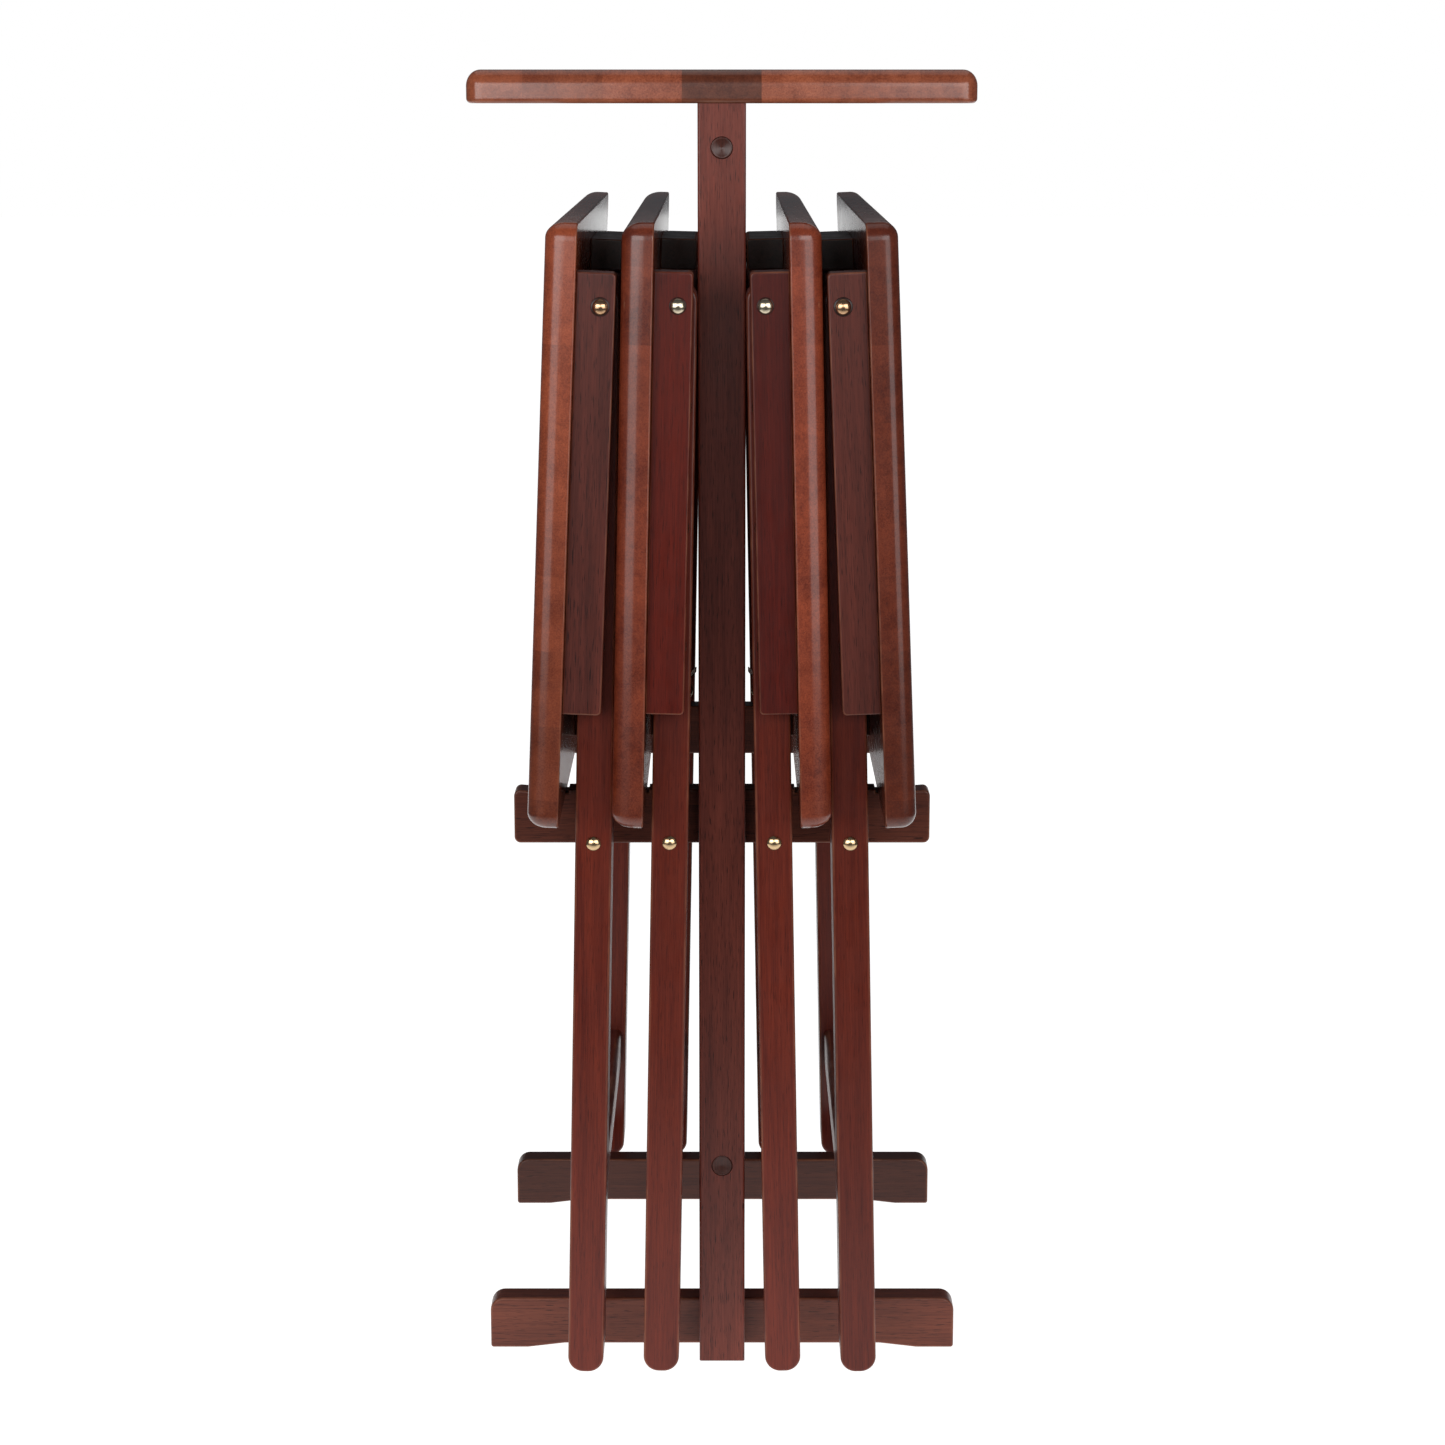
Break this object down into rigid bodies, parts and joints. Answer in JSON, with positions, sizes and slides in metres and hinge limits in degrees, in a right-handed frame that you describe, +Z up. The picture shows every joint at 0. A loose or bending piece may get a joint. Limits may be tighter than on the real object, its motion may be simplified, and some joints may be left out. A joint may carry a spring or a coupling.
{
  "type": "folding tray table set",
  "caption": "Wooden folding tray tables hung on a storage stand, each with a flat top, crossed legs and a stop for the open position.",
  "frame": {"origin": "on the floor under the middle of the stand", "axes": "+Z up, +Y from the front to the back along the posts and rails, +X to the right across the four hung tables"},
  "size_m": [0.316, 0.485, 0.8505],
  "materials": {
    "stained_wood": "satin lacquer over red-brown stain",
    "dark_wood": "satin lacquer over dark stain",
    "plug_wood": "satin lacquer over dark stain",
    "brass": "plated, lightly polished",
    "steel": "zinc plated"
  },
  "bodies": {
    "stand": {"front_post": "stained_wood", "rear_post": "stained_wood", "front_foot": "stained_wood", "rear_foot": "stained_wood", "front_arm": "stained_wood", "rear_arm": "stained_wood", "top_board": "stained_wood", "upper_rail": "dark_wood", "lower_rail": "dark_wood", "rail_fittings": "steel", "post_plugs": "plug_wood", "frame_screws": "steel"},
    "table_1_pivots": {"table_1_leg_pivots": "brass"},
    "table_1_outer_legs": {"table_1_outer_legs": "stained_wood"},
    "table_1_top": {"table_1_top": "stained_wood", "table_1_battens": "stained_wood", "table_1_rest_block": "stained_wood", "table_1_latch_block": "stained_wood", "table_1_latch_clips": "brass", "table_1_top_pivots": "brass"},
    "table_1_crossbar": {"table_1_crossbar": "stained_wood"},
    "table_1_inner_legs": {"table_1_inner_legs": "stained_wood", "table_1_stretcher": "stained_wood", "table_1_leg_inserts": "brass"},
    "table_2_pivots": {"table_2_leg_pivots": "brass"},
    "table_2_outer_legs": {"table_2_outer_legs": "stained_wood"},
    "table_2_top": {"table_2_top": "stained_wood", "table_2_battens": "stained_wood", "table_2_rest_block": "stained_wood", "table_2_latch_block": "stained_wood", "table_2_latch_clips": "brass", "table_2_top_pivots": "brass"},
    "table_2_crossbar": {"table_2_crossbar": "stained_wood"},
    "table_2_inner_legs": {"table_2_inner_legs": "stained_wood", "table_2_stretcher": "stained_wood", "table_2_leg_inserts": "brass"},
    "table_3_pivots": {"table_3_leg_pivots": "brass"},
    "table_3_outer_legs": {"table_3_outer_legs": "stained_wood"},
    "table_3_top": {"table_3_top": "stained_wood", "table_3_battens": "stained_wood", "table_3_rest_block": "stained_wood", "table_3_latch_block": "stained_wood", "table_3_latch_clips": "brass", "table_3_top_pivots": "brass"},
    "table_3_crossbar": {"table_3_crossbar": "stained_wood"},
    "table_3_inner_legs": {"table_3_inner_legs": "stained_wood", "table_3_stretcher": "stained_wood", "table_3_leg_inserts": "brass"},
    "table_4_pivots": {"table_4_leg_pivots": "brass"},
    "table_4_outer_legs": {"table_4_outer_legs": "stained_wood"},
    "table_4_top": {"table_4_top": "stained_wood", "table_4_battens": "stained_wood", "table_4_rest_block": "stained_wood", "table_4_latch_block": "stained_wood", "table_4_latch_clips": "brass", "table_4_top_pivots": "brass"},
    "table_4_crossbar": {"table_4_crossbar": "stained_wood"},
    "table_4_inner_legs": {"table_4_inner_legs": "stained_wood", "table_4_stretcher": "stained_wood", "table_4_leg_inserts": "brass"}
  },
  "joints": [
    {"name": "table_1_lift_off", "type": "hinge", "parent": "stand", "child": "table_1_pivots", "pos_m": [-0.62809, 0, -2.52355], "axis": [0, -1, 0], "range_deg": [0, 25.5]},
    {"name": "table_1_outer_leg_spread", "type": "hinge", "parent": "table_1_pivots", "child": "table_1_outer_legs", "pos_m": [-0.08079, 0, 0.37227], "axis": [0, 1, 0], "range_deg": [0, 48.4]},
    {"name": "table_1_top_swing", "type": "hinge", "parent": "table_1_outer_legs", "child": "table_1_top", "pos_m": [-0.07312, 0, 0.71019], "axis": [0, 1, 0], "range_deg": [0, 64.7]},
    {"name": "table_1_crossbar_slide", "type": "slide", "parent": "table_1_top", "child": "table_1_crossbar", "axis": [-0.0419, 0, -0.9991], "range_m": [0, 0.27711]},
    {"name": "table_1_inner_leg_spread", "type": "hinge", "parent": "table_1_crossbar", "child": "table_1_inner_legs", "pos_m": [-0.07312, 0, 0.71019], "axis": [0, -1, 0], "range_deg": [0, 113.1]},
    {"name": "table_2_lift_off", "type": "hinge", "parent": "stand", "child": "table_2_pivots", "pos_m": [-0.25336, 0, -1.09877], "axis": [0, -1, 0], "range_deg": [0, 25.3]},
    {"name": "table_2_outer_leg_spread", "type": "hinge", "parent": "table_2_pivots", "child": "table_2_outer_legs", "pos_m": [-0.03289, 0, 0.37272], "axis": [0, 1, 0], "range_deg": [0, 48.4]},
    {"name": "table_2_top_swing", "type": "hinge", "parent": "table_2_outer_legs", "child": "table_2_top", "pos_m": [-0.0264, 0, 0.71066], "axis": [0, 1, 0], "range_deg": [0, 65.55]},
    {"name": "table_2_crossbar_slide", "type": "slide", "parent": "table_2_top", "child": "table_2_crossbar", "axis": [-0.0236, 0, -0.9997], "range_m": [0, 0.27711]},
    {"name": "table_2_inner_leg_spread", "type": "hinge", "parent": "table_2_crossbar", "child": "table_2_inner_legs", "pos_m": [-0.0264, 0, 0.71066], "axis": [0, -1, 0], "range_deg": [0, 113.95]},
    {"name": "table_3_lift_off", "type": "hinge", "parent": "stand", "child": "table_3_pivots", "pos_m": [0.25336, 0, -1.09877], "axis": [0, 1, 0], "range_deg": [0, 25.3]},
    {"name": "table_3_outer_leg_spread", "type": "hinge", "parent": "table_3_pivots", "child": "table_3_outer_legs", "pos_m": [0.03289, 0, 0.37272], "axis": [0, -1, 0], "range_deg": [0, 48.4]},
    {"name": "table_3_top_swing", "type": "hinge", "parent": "table_3_outer_legs", "child": "table_3_top", "pos_m": [0.0264, 0, 0.71066], "axis": [0, -1, 0], "range_deg": [0, 65.55]},
    {"name": "table_3_crossbar_slide", "type": "slide", "parent": "table_3_top", "child": "table_3_crossbar", "axis": [0.0236, 0, -0.9997], "range_m": [0, 0.27711]},
    {"name": "table_3_inner_leg_spread", "type": "hinge", "parent": "table_3_crossbar", "child": "table_3_inner_legs", "pos_m": [0.0264, 0, 0.71066], "axis": [0, 1, 0], "range_deg": [0, 113.95]},
    {"name": "table_4_lift_off", "type": "hinge", "parent": "stand", "child": "table_4_pivots", "pos_m": [0.62809, 0, -2.52355], "axis": [0, 1, 0], "range_deg": [0, 25.5]},
    {"name": "table_4_outer_leg_spread", "type": "hinge", "parent": "table_4_pivots", "child": "table_4_outer_legs", "pos_m": [0.08079, 0, 0.37227], "axis": [0, -1, 0], "range_deg": [0, 48.4]},
    {"name": "table_4_top_swing", "type": "hinge", "parent": "table_4_outer_legs", "child": "table_4_top", "pos_m": [0.07312, 0, 0.71019], "axis": [0, -1, 0], "range_deg": [0, 64.7]},
    {"name": "table_4_crossbar_slide", "type": "slide", "parent": "table_4_top", "child": "table_4_crossbar", "axis": [0.0419, 0, -0.9991], "range_m": [0, 0.27711]},
    {"name": "table_4_inner_leg_spread", "type": "hinge", "parent": "table_4_crossbar", "child": "table_4_inner_legs", "pos_m": [0.07312, 0, 0.71019], "axis": [0, 1, 0], "range_deg": [0, 113.1]}
  ],
  "couplings": [
    {"joint": "table_1_lift_off", "follows": "table_2_lift_off", "ratio": 1.0079},
    {"joint": "table_1_outer_leg_spread", "follows": "table_2_lift_off", "ratio": 1.913},
    {"joint": "table_1_top_swing", "follows": "table_2_lift_off", "ratio": 2.5573},
    {"joint": "table_1_crossbar_slide", "follows": "table_2_lift_off", "m_per_rad": 0.62756},
    {"joint": "table_1_inner_leg_spread", "follows": "table_2_lift_off", "ratio": 4.4704},
    {"joint": "table_2_outer_leg_spread", "follows": "table_2_lift_off", "ratio": 1.913},
    {"joint": "table_2_top_swing", "follows": "table_2_lift_off", "ratio": 2.5909},
    {"joint": "table_2_crossbar_slide", "follows": "table_2_lift_off", "m_per_rad": 0.62756},
    {"joint": "table_2_inner_leg_spread", "follows": "table_2_lift_off", "ratio": 4.504},
    {"joint": "table_3_outer_leg_spread", "follows": "table_3_lift_off", "ratio": 1.913},
    {"joint": "table_3_top_swing", "follows": "table_3_lift_off", "ratio": 2.5909},
    {"joint": "table_3_crossbar_slide", "follows": "table_3_lift_off", "m_per_rad": 0.62756},
    {"joint": "table_3_inner_leg_spread", "follows": "table_3_lift_off", "ratio": 4.504},
    {"joint": "table_4_lift_off", "follows": "table_3_lift_off", "ratio": 1.0079},
    {"joint": "table_4_outer_leg_spread", "follows": "table_3_lift_off", "ratio": 1.913},
    {"joint": "table_4_top_swing", "follows": "table_3_lift_off", "ratio": 2.5573},
    {"joint": "table_4_crossbar_slide", "follows": "table_3_lift_off", "m_per_rad": 0.62756},
    {"joint": "table_4_inner_leg_spread", "follows": "table_3_lift_off", "ratio": 4.4704}
  ]
}
